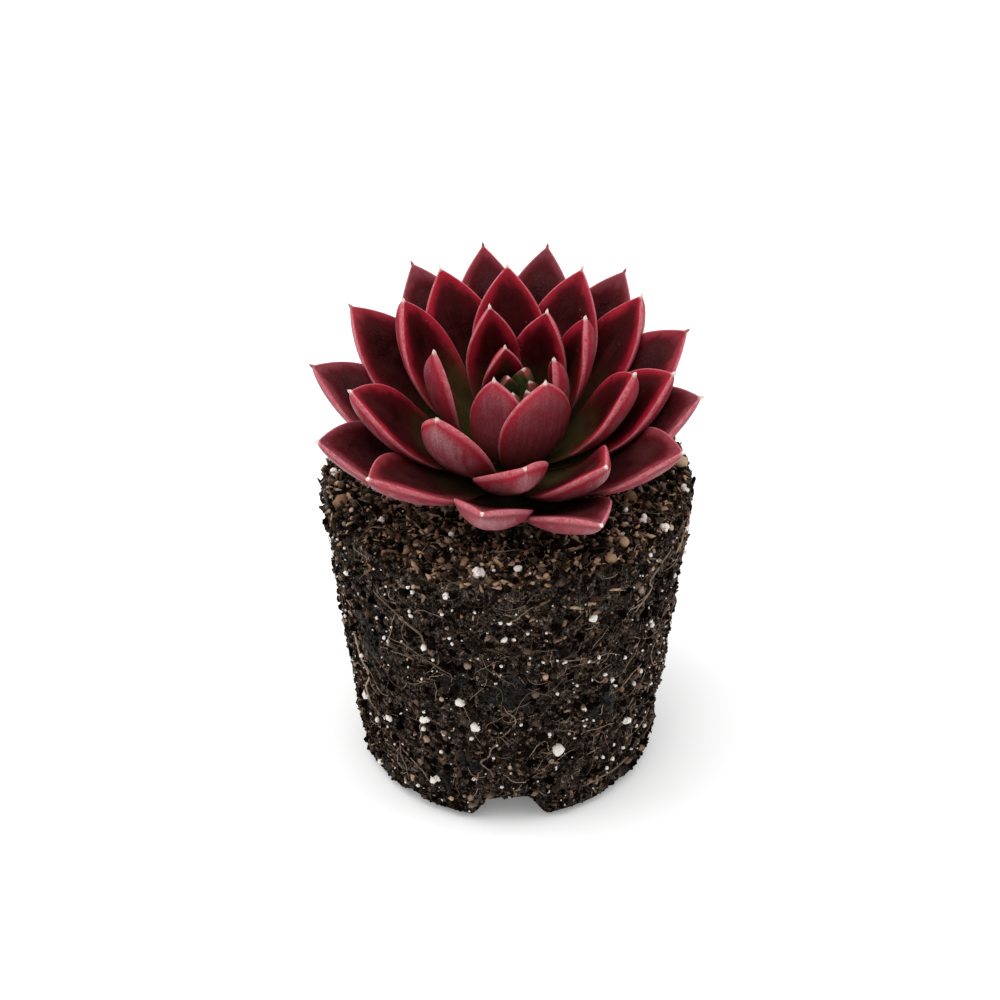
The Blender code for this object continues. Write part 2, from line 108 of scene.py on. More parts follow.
# Crown
CROWN_X = 1.0
CROWN_Y = 0.7
LEAN_TO_FRONT = 8.7
LEAN_TO_RIGHT = 0.8
STEM_RADIUS = 6.0
STEM_TIP_RADIUS = 2.4
STEM_TOP = 14.6
STEM_TAPER_START = 3.0
GAP = 0.3

# Leaves from the lowest to the highest: direction and reach of the tip from the crown's axis, width, slope
# at the tip, how far the base is turned from the tip's direction, and how far the blade is rolled
LEAVES = (
    (294, 54, 21, 22, 0, -4), (80, 52, 22, 46, 0, 0), (203, 54, 22, 30, 0, -22),
    (350, 48.5, 22, 32, 0, 24), (123, 49, 22, 38, 0, -20), (261, 50, 20, 36, 0, -3),
    (53, 48.5, 22, 42, 0, 14), (175, 52, 22, 36, 0, -14), (328, 50.5, 22, 28, 0, 18),
    (99, 51.5, 21, 46, 0, 0), (225, 51.5, 20, 30, 0, -10), (19, 47.5, 22, 36, 0, 20),
    (150, 49, 22, 42, 0, -8), (302, 43.5, 21, 40, 0, 24), (62, 38, 20, 54, 0, 4),
    (195, 43, 21, 46, 0, -14), (354, 41, 21, 48, 0, 20), (120, 38.5, 20.5, 52, 0, -8),
    (37, 41.5, 18.5, 62, 0, -4), (93, 33.5, 19.5, 62, 0, 0), (231, 31, 20, 68, 0, 12),
    (145, 35, 18, 72, 0, 4), (274, 39.5, 19, 52, -8, 24), (63, 19, 16, 75, 0, 0),
    (347, 31.5, 19.5, 63, 0, 10), (109, 19.5, 15, 75, 0, 0), (37, 23, 16, 80, 0, -24),
    (177, 20.5, 15.5, 80, 0, 26), (319, 11, 20, 90, -24, 0), (108, 7.5, 11.5, 90, 0, 0),
    (225, 7.5, 16, 95, 30, 0), (8, 10.5, 11.5, 90, 0, 0))
LOWEST_BASE = 3.3
HIGHEST_BASE = 9.0
LOWEST_SLOPE = 2.0
HIGHEST_SLOPE = 40.0
BASE_HANDLE = 0.4
TIP_HANDLE = 0.34
TIP_LEVEL = 36.0
TIP_RISE = 0.39
TIP_CURL = 0.00016
LEAF_THICKNESS = 5.6
LEAF_CUP = 1.4
LEAF_CHANNEL = 0.3
LEAF_UNEVENNESS = 0.25
BELLY_FULLNESS = 0.7
PRESS_GAP = 0.12
PRESSED_THICKNESS = 0.5

# Width and depth along a leaf: share at the base, place of the peak, powers of the swell and the taper
WIDTH_CURVE = (0.55, 0.56, 1.5, 2.05, 1.0)
DEPTH_CURVE = (0.26, 0.7, 1.6, 2.8, 0.8)

# Spike at a leaf's tip, and its rings: share of its length, share of its width, share of its end colour
SPIKE_LENGTH = 1.05
SPIKE_RADIUS = 0.40
SPIKE_RINGS = ((0.25, 0.74, 0.0), (0.5, 0.50, 0.0), (0.75, 0.28, 0.3), (0.92, 0.12, 0.8))

# Fineness of a leaf: cross-sections, and points on the upper face and the underside of each
LEAF_FINENESS = (56, 20, 24)

# Bud: direction, reach, tip height, width
BUD_LEAVES = ((62, 5.2, 33.0, 7.6), (110, 3.4, 31.4, 6.4), (340, 3.6, 31.0, 6.4),
              (200, 3.4, 30.4, 6.4), (265, 1.6, 30.4, 7.4), (20, 4.4, 31.6, 6.0))
BUD_FINENESS = (30, 12, 14)
BUD_SPIKE = 0.35
BUD_CORE_RINGS = ((0.0, 2.2), (3.0, 2.4), (7.0, 2.0), (10.0, 0.8))
BUD_CORE_HEIGHT = 10.2
BUD_CORE_SIDES = 24

# Colours of the flesh
RIM_RED = (0.44, 0.07, 0.095)
# Pale pink of the thin margin: partly its own colour, partly a painted highlight.
RIM_PINK_AND_PAINTED_HIGHLIGHT = (0.66, 0.29, 0.315)
BAND_RED = (0.36, 0.015, 0.032)
BAND_DUSTY = (0.205, 0.048, 0.06)
DEEP_RED = (0.085, 0.0045, 0.0075)
FACE_MAROON = (0.015, 0.0015, 0.0016)
FACE_RED = (0.04, 0.0036, 0.0038)
FACE_DUSTY = (0.058, 0.0145, 0.016)
FACE_OLIVE = (0.04, 0.034, 0.012)
BASE_OLIVE = (0.054, 0.042, 0.015)
UNDER_CRIMSON = (0.3, 0.015, 0.032)
UNDER_ROSE = (0.2, 0.014, 0.0245)
UNDER_HAZE = (0.3, 0.12, 0.135)
SPIKE_WHITE = (0.8, 0.66, 0.6)
SPIKE_PINK = (0.5, 0.16, 0.15)
# Painted shade: the dark colour given to the spikes of outer leaves that face away from the viewer.
SPIKE_PAINTED_SHADE = (0.22, 0.06, 0.055)

# Colours of the mix, each from its darkest to its lightest tone
# The soil's tone follows its bump: the darkest stops are painted shade in its hollows, the lightest partly
# painted glints.
SOIL_STOPS_PAINTED_SHADE_AND_GLINTS = ((0.44, (0.0012, 0.0009, 0.0007)), (0.5, (0.006, 0.0042, 0.0032)),
              (0.56, (0.019, 0.0135, 0.0105)), (0.61, (0.048, 0.033, 0.024)),
              (0.66, (0.15, 0.105, 0.078)), (0.72, (0.42, 0.34, 0.27)))
CRUMB_STOPS = ((0.0, (0.0015, 0.0011, 0.0009)), (0.25, (0.007, 0.0048, 0.0036)),
               (0.5, (0.03, 0.02, 0.014)), (0.75, (0.13, 0.086, 0.06)), (1.0, (0.38, 0.28, 0.21)))
BARK_STOPS = ((0.0, (0.006, 0.0038, 0.0026)), (0.35, (0.026, 0.014, 0.0085)),
              (0.65, (0.095, 0.05, 0.028)), (1.0, (0.44, 0.28, 0.17)))
STONE_STOPS = ((0.0, (0.12, 0.065, 0.035)), (0.5, (0.32, 0.2, 0.115)), (1.0, (0.58, 0.43, 0.29)))
ROOT_STOPS = ((0.0, (0.03, 0.018, 0.012)), (0.5, (0.12, 0.078, 0.052)), (1.0, (0.42, 0.31, 0.23)))
STEM_STOPS = ((0.3, (0.03, 0.018, 0.01)), (0.6, (0.11, 0.065, 0.032)), (0.8, (0.2, 0.13, 0.07)))

# Floor, sky and lamps, in metres: name, place, power
FLOOR_SIZE = 30.0
FLOOR_LEVEL = -0.0004
FLOOR_GLOW = 0.12
SKY_STRENGTH = 0.70
BACKGROUND_STRENGTH = 1.05
AIM = (0.0, 0.0, 0.08)
LAMPS = (("lamp_above", (-0.15, -0.10, 1.1), 7.1), ("lamp_left", (-0.95, 0.0, 0.8), 4.2),
         ("lamp_right", (0.95, 0.0, 0.8), 3.6))
LAMP_SIZE = 1.0

# Camera: the photograph's angle, with its distance and focal length chosen together
CAMERA_ELEVATION = 37.0
CAMERA_DISTANCE = 1.1
SENSOR_WIDTH = 36.0
PICTURE_WIDTH = 1000.0
RIM_RADIUS_METRES = 0.049
RIM_RADIUS_PIXELS = 188.5
RIM_CENTRE_PIXELS = (507.5, 474.0)

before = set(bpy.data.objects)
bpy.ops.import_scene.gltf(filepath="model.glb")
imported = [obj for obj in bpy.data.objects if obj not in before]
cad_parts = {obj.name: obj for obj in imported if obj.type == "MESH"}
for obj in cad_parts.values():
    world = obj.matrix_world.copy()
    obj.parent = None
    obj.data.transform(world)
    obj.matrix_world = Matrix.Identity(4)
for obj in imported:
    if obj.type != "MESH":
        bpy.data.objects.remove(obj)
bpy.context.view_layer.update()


def smooth_step(low, high, value):
    """Nought below low, one above high, with a soft ramp between."""
    share = np.clip((np.asarray(value, float) - low) / (high - low), 0.0, 1.0)
    return share * share * (3.0 - 2.0 * share)


def unit(vectors):
    """Vectors scaled to length one."""
    return vectors / np.linalg.norm(vectors, axis=-1, keepdims=True)


def crown_axes():
    """The crown's own right, back and up directions."""
    lean = math.radians(LEAN_TO_FRONT)
    side = math.radians(LEAN_TO_RIGHT)
    up = np.array([math.sin(side), -math.sin(lean) * math.cos(side), math.cos(lean) * math.cos(side)])
    right = np.array([math.cos(side), 0.0, -math.sin(side)])
    right = unit(right - up * (right @ up))
    return right, np.cross(up, right), up


RIGHT, BACK, UP = crown_axes()
CROWN = np.array([CROWN_X, CROWN_Y, PLUG_HEIGHT])


def add_piece(name, points, faces, marks, material, slot, replaces=(), smooth=True):
    """Adds a mesh given in millimetres, with a number per vertex for each mark, fixed to the root body."""
    faces = np.asarray(faces, np.int32)
    mesh = bpy.data.meshes.new(name)
    mesh.vertices.add(len(points))
    mesh.vertices.foreach_set("co", (points * MILLIMETRE).astype(np.float32).ravel())
    mesh.loops.add(faces.size)
    mesh.loops.foreach_set("vertex_index", faces.ravel())
    mesh.polygons.add(len(faces))
    mesh.polygons.foreach_set("loop_start", np.arange(0, faces.size, faces.shape[1], dtype=np.int32))
    mesh.update(calc_edges=True)
    mesh.validate()
    for mark, values in marks.items():
        values = np.asarray(values, np.float32)
        if values.ndim == 1:
            mesh.attributes.new(mark, "FLOAT", "POINT").data.foreach_set("value", values)
        else:
            mesh.attributes.new(mark, "FLOAT_VECTOR", "POINT").data.foreach_set("vector", values.ravel())
    mesh.materials.append(material)
    if smooth:
        mesh.shade_smooth()
    piece = bpy.data.objects.new(name, mesh)
    bpy.context.scene.collection.objects.link(piece)
    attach(piece, "root")
    for node in replaces:
        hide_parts(node)


class Shader:
    """Adds nodes to a new material and links them."""

    def __init__(self, name):
        self.material = bpy.data.materials.new(name)
        self.material.use_nodes = True
        self.tree = self.material.node_tree
        self.surface = self.tree.nodes["Principled BSDF"]

    def put(self, socket, value):
        if isinstance(value, bpy.types.NodeSocket):
            self.tree.links.new(value, socket)
        elif isinstance(value, tuple) and len(value) == 3 and socket.type == "RGBA":
            socket.default_value = (*value, 1.0)
        else:
            socket.default_value = value

    def node(self, kind, inputs, **settings):
        made = self.tree.nodes.new("ShaderNode" + kind)
        for key, value in settings.items():
            setattr(made, key, value)
        for key, value in inputs.items():
            self.put(made.inputs[key], value)
        return made

    def mark(self, name, kind="Fac"):
        return self.node("Attribute", {}, attribute_name=name).outputs[kind]

    def place(self):
        return self.node("TexCoord", {}).outputs["Object"]

    def stretch(self, vector, scale):
        return self.node("Mapping", {"Vector": vector, "Scale": scale}).outputs["Vector"]

    def noise(self, vector, scale, detail=3.0, rough=0.55, distortion=0.0):
        made = self.node("TexNoise", {"Vector": vector, "Scale": scale, "Detail": detail,
                                      "Roughness": rough, "Distortion": distortion})
        return made.outputs["Fac"]

    def cells(self, vector, scale):
        return self.node("TexVoronoi", {"Vector": vector, "Scale": scale}).outputs["Distance"]

    def ramp(self, value, low, high, to_low=0.0, to_high=1.0):
        made = self.node("MapRange", {"Value": value, "From Min": low, "From Max": high, "To Min": to_low,
                                      "To Max": to_high}, interpolation_type="SMOOTHSTEP")
        return made.outputs["Result"]

    def spread(self, value, amount):
        """A noise stretched from minus to plus an amount."""
        return self.ramp(value, 0.3, 0.7, -amount, amount)

    def add(self, total, *others):
        for other in others:
            total = self.node("Math", {0: total, 1: other}, operation="ADD").outputs[0]
        return total

    def times(self, a, b):
        return self.node("Math", {0: a, 1: b}, operation="MULTIPLY").outputs[0]

    def mix(self, factor, a, b, blend="MIX"):
        made = self.node("Mix", {}, data_type="RGBA", blend_type=blend)
        self.put(made.inputs[0], factor)
        self.put(made.inputs[6], a)
        self.put(made.inputs[7], b)
        return made.outputs[2]

    def colours(self, value, stops):
        made = self.node("ValToRGB", {"Fac": value})
        band = made.color_ramp
        while len(band.elements) < len(stops):
            band.elements.new(0.5)
        for element, (at, colour) in zip(band.elements, stops):
            element.position = at
            element.color = (*colour, 1.0)
        return made.outputs["Color"]

    def bump(self, height, distance, strength):
        inputs = {"Height": height, "Distance": distance, "Strength": strength}
        return self.node("Bump", inputs).outputs["Normal"]

    def finish(self, **inputs):
        for key, value in inputs.items():
            self.put(self.surface.inputs[key.replace("_", " ")], value)
        return self.material


def leaf_material():
    """Waxy red flesh: dark upper face, pale thin margin with a painted highlight, hazy rose underside, olive
    base and a spike.
    """
    s = Shader("leaf_flesh_waxy")
    where = s.place()
    under = s.mark("under")
    inner = s.mark("inner")
    streaks = s.noise(s.stretch(s.mark("flow", "Vector"), (60.0, 900.0, 900.0)), 1.0, 4.0, 0.6)
    clouds = s.noise(where, 160.0, 4.0, 0.6)
    grain = s.noise(where, 2400.0, 2.0, 0.6)
    rim = s.add(s.mark("rim"), s.add(s.spread(clouds, 0.7), s.spread(streaks, 0.25), s.spread(grain, 0.4)))
    face = s.mix(s.ramp(s.add(clouds, s.times(streaks, 0.6)), 0.62, 1.02), FACE_MAROON, FACE_RED)
    dust = s.times(s.ramp(s.add(clouds, s.times(grain, 0.6)), 0.50, 1.0),
                   s.ramp(inner, 0.1, 0.65, 0.95, 0.08))
    face = s.mix(dust, face, FACE_DUSTY)
    face = s.mix(s.ramp(inner, 0.82, 0.94, 0.0, 0.75), face, FACE_OLIVE)
    band = s.mix(s.ramp(inner, 0.15, 0.55), BAND_DUSTY, BAND_RED)
    upper = s.mix(s.ramp(rim, 0.8, 6.5, 0.9, 0.0), face, DEEP_RED)
    upper = s.mix(s.ramp(rim, 0.2, 3.4, 0.9, 0.0), upper, band)
    # Thin line along the margin, red to pale pink: partly the margin's own colour, partly a painted
    # highlight.
    line = s.ramp(s.add(s.mark("rim"), s.ramp(streaks, 0.3, 0.7, -0.15, 0.2)), 0.05, 0.65, 0.9, 0.0)
    upper = s.mix(line, upper, s.mix(s.ramp(streaks, 0.35, 0.75), RIM_RED, RIM_PINK_AND_PAINTED_HIGHLIGHT))
    haze = s.add(s.ramp(s.add(s.times(clouds, 0.45), s.times(streaks, 0.65)), 0.36, 0.80),
                 s.ramp(grain, 0.5, 0.75, 0.0, 0.25), s.ramp(s.mark("along"), 0.65, 1.0, 0.0, 0.35))
    haze = s.times(haze, s.ramp(inner, 0.6, 0.9, 1.0, 0.4))
    rose = s.mix(haze, UNDER_ROSE, UNDER_HAZE)
    rose = s.mix(s.ramp(rim, 0.4, 2.8, 0.65, 0.0), rose, UNDER_CRIMSON)
    rose = s.mix(s.times(s.mark("keel"), s.ramp(inner, 0.7, 0.85, 0.5, 0.12)), rose, UNDER_HAZE)
    skin = s.mix(under, upper, rose)
    speckle = s.mix(s.ramp(grain, 0.35, 0.65), (0.84, 0.80, 0.80), (1.16, 1.20, 1.20))
    skin = s.mix(1.0, skin, speckle, "MULTIPLY")
    foot = s.add(s.mark("along"), s.add(s.spread(clouds, 0.08), s.times(inner, -0.16)))
    skin = s.mix(s.times(s.ramp(foot, 0.08, 0.52, 1.0, 0.0), s.ramp(under, 0.0, 1.0, 1.0, 0.25)), skin,
                 BASE_OLIVE)
    specks = s.ramp(s.cells(where, 420.0), 0.05, 0.11, 0.6, 0.0)
    specks = s.times(specks, s.ramp(s.noise(where, 260.0, 1.0), 0.58, 0.66))
    skin = s.mix(specks, skin, UNDER_HAZE)
    # Painted shade: spikes of outer leaves turned away from the viewer are painted dark, the others white.
    spike = s.mix(s.ramp(inner, 0.3, 0.6), s.mix(s.mark("spike_lit_front"), SPIKE_PAINTED_SHADE, SPIKE_WHITE), SPIKE_WHITE)
    skin = s.mix(s.mark("spike"), skin, spike)
    skin = s.mix(s.mark("point"), skin, SPIKE_PINK)
    rough = s.add(s.ramp(clouds, 0.3, 0.7, 0.32, 0.44), s.times(under, 0.10))
    normal = s.bump(s.add(s.times(grain, 0.6), streaks), 0.00009, 0.6)
    return s.finish(Base_Color=skin, Roughness=rough, Normal=normal,
                    Specular_IOR_Level=s.ramp(under, 0.0, 1.0, 0.05, 0.22),
                    Subsurface_Weight=0.08, Subsurface_Radius=(1.0, 0.25, 0.2), Subsurface_Scale=0.0015)


def bud_material():
    """Olive green flesh that turns red at the tips."""
    s = Shader("bud_flesh_waxy")
    clouds = s.noise(s.place(), 260.0, 3.0, 0.6)
    green = s.mix(s.ramp(clouds, 0.3, 0.7), (0.026, 0.034, 0.009), (0.070, 0.074, 0.024))
    red = s.mix(s.ramp(clouds, 0.3, 0.7), (0.26, 0.014, 0.024), (0.32, 0.05, 0.05))
    tips = s.ramp(s.add(s.mark("along"), s.times(s.mark("edge"), 0.08)), 0.90, 1.05)
    skin = s.mix(s.mark("spike"), s.mix(tips, green, red), SPIKE_WHITE)
    return s.finish(Base_Color=skin, Roughness=0.42, Normal=s.bump(clouds, 0.0001, 0.5),
                    Subsurface_Weight=0.08, Subsurface_Radius=(0.8, 0.5, 0.2), Subsurface_Scale=0.001)


def stem_material():
    """Dry brown stem skin."""
    s = Shader("stem_skin_dry")
    bark = s.noise(s.stretch(s.place(), (1.0, 1.0, 3.0)), 380.0, 4.0, 0.65)
    return s.finish(Base_Color=s.colours(bark, STEM_STOPS), Roughness=0.8, Normal=s.bump(bark, 0.0004, 0.8))


def soil_material():
    """Dark damp mix: painted shade that makes the hollows of its bump near black, brown fibres, fine pale
    specks that are partly painted glints, and smoother pressed patches.
    """
    s = Shader("potting_mix_damp")
    where = s.place()
    broad = s.noise(where, 110.0, 3.0, 0.6)
    medium = s.noise(where, 800.0, 4.0, 0.65, 0.6)
    fine = s.noise(where, 2600.0, 3.0, 0.7)
    threads = s.noise(s.stretch(where, (1.0, 1.0, 0.3)), 2200.0, 2.0, 0.6, 1.5)
    # Tone from the same noise as the bump, so hollows get painted shade and peaks partly painted glints.
    tone = s.add(s.times(medium, 0.45), s.times(fine, 0.4), s.times(threads, 0.25), s.spread(broad, 0.03))
    smooth = s.mix(s.ramp(fine, 0.4, 0.7), (0.0050, 0.0046, 0.0040), (0.019, 0.0170, 0.0145))
    patch = s.ramp(s.add(s.mark("pressed"), s.spread(medium, 0.5)), 0.45, 0.85)
    normal = s.bump(s.add(medium, s.times(fine, 0.5)), 0.0006, 0.9)
    return s.finish(Base_Color=s.mix(patch, s.colours(tone, SOIL_STOPS_PAINTED_SHADE_AND_GLINTS), smooth), Roughness=0.65,
                    Normal=normal, Specular_IOR_Level=s.ramp(tone, 0.52, 0.66, 0.0, 0.25))


def chunk_material(name, stops, rough):
    """Crumbs, bits and roots, coloured one by one by their own tone."""
    s = Shader(name)
    grain = s.noise(s.place(), 1400.0, 3.0, 0.65)
    tone = s.add(s.mark("tone"), s.spread(grain, 0.08))
    return s.finish(Base_Color=s.colours(tone, stops), Roughness=rough, Normal=s.bump(grain, 0.00012, 0.8),
                    Specular_IOR_Level=s.ramp(tone, 0.2, 0.7, 0.0, 0.2))


def perlite_material():
    """White and pitted, greyer in the hollows of its pits, with a little soil in patches."""
    s = Shader("perlite_white")
    where = s.place()
    pits = s.cells(where, 1500.0)
    dirt = s.times(s.ramp(s.noise(where, 900.0, 3.0, 0.6), 0.56, 0.72), s.mark("dirt"))
    colour = s.mix(dirt, (0.78, 0.72, 0.67), (0.1, 0.065, 0.045))
    # Greyer in the hollows of the pits.
    colour = s.mix(s.ramp(pits, 0.1, 0.35, 0.35, 0.0), colour, (0.3, 0.24, 0.2))
    return s.finish(Base_Color=colour, Roughness=0.8, Normal=s.bump(pits, 0.00015, 0.7))


def tip_height(reach):
    """The leaf tips lie on a shallow cup above the soil."""
    return TIP_LEVEL + TIP_RISE * reach - TIP_CURL * reach ** 3


def stem_radius(height):
    """Radius of the stem at a height above the soil."""
    share = min(max((height - STEM_TAPER_START) / (STEM_TOP - STEM_TAPER_START), 0.0), 1.0)
    return STEM_RADIUS + (STEM_TIP_RADIUS - STEM_RADIUS) * share


def swell_and_taper(s, base, peak, swelling, tapering, rounding):
    """Grows from its share at the base to one at the peak, then falls to nought at the tip."""
    swell = base + (1.0 - base) * np.sin(0.5 * math.pi * np.clip(s / peak, 0, 1)) ** swelling
    taper = (1.0 - np.clip((s - peak) / (1.0 - peak), 0, 1) ** tapering) ** rounding
    return np.where(s < peak, swell, taper)


class Blade:
    """One fleshy leaf: a curved middle line, a flat upper face, thick margins and a rounded underside."""

    def __init__(self, direction, start, tip, width, thickness, slopes, cup=0.0, turn=0.0, roll=0.0,
                 unevenness=0.0, seed=0, spike=1.0):
        angle = math.radians(direction + turn)
        self.out = np.array([math.cos(angle), math.sin(angle)])
        self.drift = -tip[0] * math.sin(math.radians(turn))
        self.half_width = 0.5 * width
        self.thickness = thickness
        self.cup = cup
        self.roll = math.radians(roll)
        start = np.array(start)
        tip = np.array([tip[0] * math.cos(math.radians(turn)), tip[1]])
        chord = np.linalg.norm(tip - start)
        low, high = (np.array([math.cos(math.radians(a)), math.sin(math.radians(a))]) for a in slopes)
        self.knots = (start, start + low * chord * BASE_HANDLE, tip - high * chord * TIP_HANDLE, tip)
        line = self.middle(np.linspace(0.0, 1.0, 60))[0]
        self.length = np.linalg.norm(np.diff(line, axis=0), axis=1).sum()
        self.unevenness = unevenness
        self.spike = spike
        self.phase = seed * 2.399

    def middle(self, s):
        """Point, upward direction and run of the middle line, a cubic curve in (reach, height)."""
        a, b, c, d = self.knots
        s = np.asarray(s, float)[..., None]
        r = 1.0 - s
        point = r ** 3 * a + 3.0 * r * r * s * b + 3.0 * r * s * s * c + s ** 3 * d
        run = unit(r * r * (b - a) + 2.0 * r * s * (c - b) + s * s * (d - c))
        return point, np.stack([-run[..., 1], run[..., 0]], -1), run

    def place(self, point, across):
        """(reach, height) and a sideways distance turned into world millimetres."""
        flat = self.out * point[..., :1] + np.array([-self.out[1], self.out[0]]) * across[..., None]
        return CROWN + RIGHT * flat[..., :1] + BACK * flat[..., 1:2] + UP * point[..., 1:2]

    def grid(self, stations, top_points, under_points):
        """World points of every cross-section, and the marks that the material reads."""
        share = np.linspace(0.0, 1.0, stations)
        s = 0.5 * share + 0.5 * (1.0 - (1.0 - share) ** 2.2)
        point, lift, _ = self.middle(s)
        s = s[:, None]
        turn = np.concatenate([np.linspace(0, math.pi, top_points, endpoint=False),
                               np.linspace(math.pi, 2 * math.pi, under_points, endpoint=False)])
        across = np.cos(turn)
        upper = np.arange(len(turn)) < top_points
        half = np.maximum(self.half_width * swell_and_taper(s, *WIDTH_CURVE), SPIKE_RADIUS * self.spike)
        deep = np.maximum(self.thickness * swell_and_taper(s, *DEPTH_CURVE), 2.0 * SPIKE_RADIUS * self.spike)
        flat = np.minimum(half / self.half_width, 1.0)
        side = np.abs(across)
        top = (0.12 * deep + 0.17) * np.sqrt(1.0 - side ** 7)
        top -= LEAF_CHANNEL * flat * (1.0 - side ** 2)
        boat = self.cup * flat * side ** 2 * np.minimum(2.0 * s, 1.0)
        belly = 0.88 * deep * (1.0 - side ** 2.2) ** BELLY_FULLNESS
        keel = 0.22 * np.exp(-(across * half / 0.9) ** 2) * smooth_step(0.55, 0.9, s) * flat
        sway = self.unevenness * np.sin(5.0 * s + self.phase) * s * (1.0 - s) * 4.0
        wave = self.unevenness * np.sin(9.0 * s + 2.0 * across + self.phase) * 0.35 * flat
        rise = np.where(upper, top, -belly - keel) + boat + wave
        roll = self.roll * s
        sideways = half * across * np.cos(roll) - rise * np.sin(roll) + self.drift * s ** 2 + sway
        upwards = half * across * np.sin(roll) + rise * np.cos(roll)
        points = self.place(point[:, None] + lift[:, None] * upwards[..., None], sideways)
        edge = half * (1.0 - side)
        reach = np.broadcast_to(s, upwards.shape)
        from_end = self.length * (1.0 - reach)
        ridge = np.exp(-(across * half / 0.45) ** 2) * smooth_step(0.78, 0.97, reach)
        marks = {
            "top": np.where(upper, 1.0, 0.0) + 0.0 * reach,
            "rim": np.minimum(edge, 0.6 * from_end),
            "under": np.where(upper, 0.0, smooth_step(0.1, 1.6, edge)),
            "along": reach,
            "keel": np.where(upper, 0.0, ridge),
            "edge": side + 0.0 * reach,
            "spike": 1.0 - smooth_step(0.1, 0.7, from_end),
            "point": 0.0 * reach}
        flow = np.broadcast_arrays(self.length * reach, half * across, np.where(upper, 0.0, 20.0))
        return points, marks, np.stack(flow, -1) * MILLIMETRE + self.phase

    def mesh(self, fineness):
        """Points, faces and marks of the closed blade with its spike."""
        points, marks, flow = self.grid(*fineness)
        around = points.shape[1]
        end, _, run = (v[None] for v in self.middle(1.0))
        last = points[-1]
        centre = last.mean(0)
        drift = np.array([self.drift])
        axis = (self.place(end + run, drift)[0] - self.place(end, drift)[0]) * SPIKE_LENGTH * self.spike
        heights, radii, tints = np.transpose(SPIKE_RINGS)
        spike = centre + (last - centre) * radii[:, None, None] + axis * heights[:, None, None]
        points = np.concatenate([points.reshape(-1, 3), spike.reshape(-1, 3), [centre + axis]])
        tints = np.append(np.repeat(tints, around), 1.0)
        on_spike = {"spike": 1.0, "point": tints, "along": 1.0, "edge": 1.0}
        marks = {key: np.append(values, np.broadcast_to(on_spike.get(key, 0.0), len(tints)))
                 for key, values in marks.items()}
        marks["flow"] = np.concatenate([*flow, *[flow[-1]] * len(heights), flow[-1][:1]])
        rows = fineness[0] + len(heights)
        first = np.arange(around)
        foot = np.stack([np.zeros(around - 2, int), first[2:], first[1:-1]], -1)
        faces = np.concatenate([grid_faces(rows, around), cap(rows - 1, around, rows * around), foot])
        return points, outward(points, faces), marks


def grid_faces(rows, around):
    """Two triangles for each cell of a closed grid."""
    row = np.arange(rows - 1)[:, None] * around
    first = np.arange(around)
    after = (first + 1) % around
    a, b = row + first, row + after
    c, d = b + around, a + around
    return np.concatenate([np.stack([a, b, c], -1).reshape(-1, 3), np.stack([a, c, d], -1).reshape(-1, 3)])


def cap(row, around, centre):
    """Triangles from a ring of a grid to one more point."""
    first = np.arange(around)
    return np.stack([row * around + first, row * around + (first + 1) % around, np.full(around, centre)], -1)


def ring_faces(rows, around):
    """Faces of a stack of rings, closed at its first and last ring by the two points after them."""
    first_cap = cap(0, around, rows * around)[:, ::-1]
    return np.concatenate([grid_faces(rows, around), first_cap, cap(rows - 1, around, rows * around + 1)])


def outward(points, faces):
    """The faces of a closed mesh, turned round when they enclose a negative volume."""
    corners = points[faces]
    volume = np.einsum("ij,ij->i", corners[:, 0], np.cross(corners[:, 1], corners[:, 2])).sum()
    return faces[:, ::-1] if volume < 0 else faces


def make_blade(index):
    """Leaf number index, counted from the lowest."""
    direction, reach, width, tip_slope, turn, roll = LEAVES[index]
    share = index / (len(LEAVES) - 1)
    base_height = LOWEST_BASE + (HIGHEST_BASE - LOWEST_BASE) * share
    base_slope = LOWEST_SLOPE + (HIGHEST_SLOPE - LOWEST_SLOPE) * share
    start = (stem_radius(base_height) + GAP + 0.5, base_height)
    tip = (reach - 0.4, tip_height(reach) - 0.5)
    thickness = LEAF_THICKNESS * min(1.0, 0.6 + 0.012 * reach)
    cup = LEAF_CUP * width / 20.0
    return Blade(direction, start, tip, width, thickness, (base_slope, tip_slope), cup, turn, roll,
                 LEAF_UNEVENNESS, index)


def press_apart(meshes):
    """Dents each lower leaf where an upper one lies on it, to just below the upper one's underside."""
    bodies = []
    bellies = []
    for points, faces, marks in meshes:
        corners = [tuple(p) for p in points]
        below = (marks["top"][faces] < 0.5).all(1)
        bodies.append(BVHTree.FromPolygons(corners, faces.tolist()))
        bellies.append(BVHTree.FromPolygons(corners, faces[below].tolist()))
    boxes = [(points.min(0), points.max(0)) for points, _, _ in meshes]
    for lower in range(len(meshes)):
        points = meshes[lower][0]
        on_top = meshes[lower][2]["top"] > 0.5
        for upper in range(lower + 1, len(meshes)):
            low, high = boxes[upper]
            near = np.nonzero(((points > low) & (points < high)).all(1))[0]
            for k in near:
                spot, normal, _, _ = bodies[upper].find_nearest(Vector(points[k]), 8.0)
                if spot is None or (Vector(points[k]) - spot).dot(normal) > PRESS_GAP:
                    continue
                spot, normal, _, _ = bellies[upper].find_nearest(Vector(points[k]))
                away = PRESS_GAP if on_top[k] else PRESS_GAP + PRESSED_THICKNESS
                points[k] = np.array(spot + normal * away)


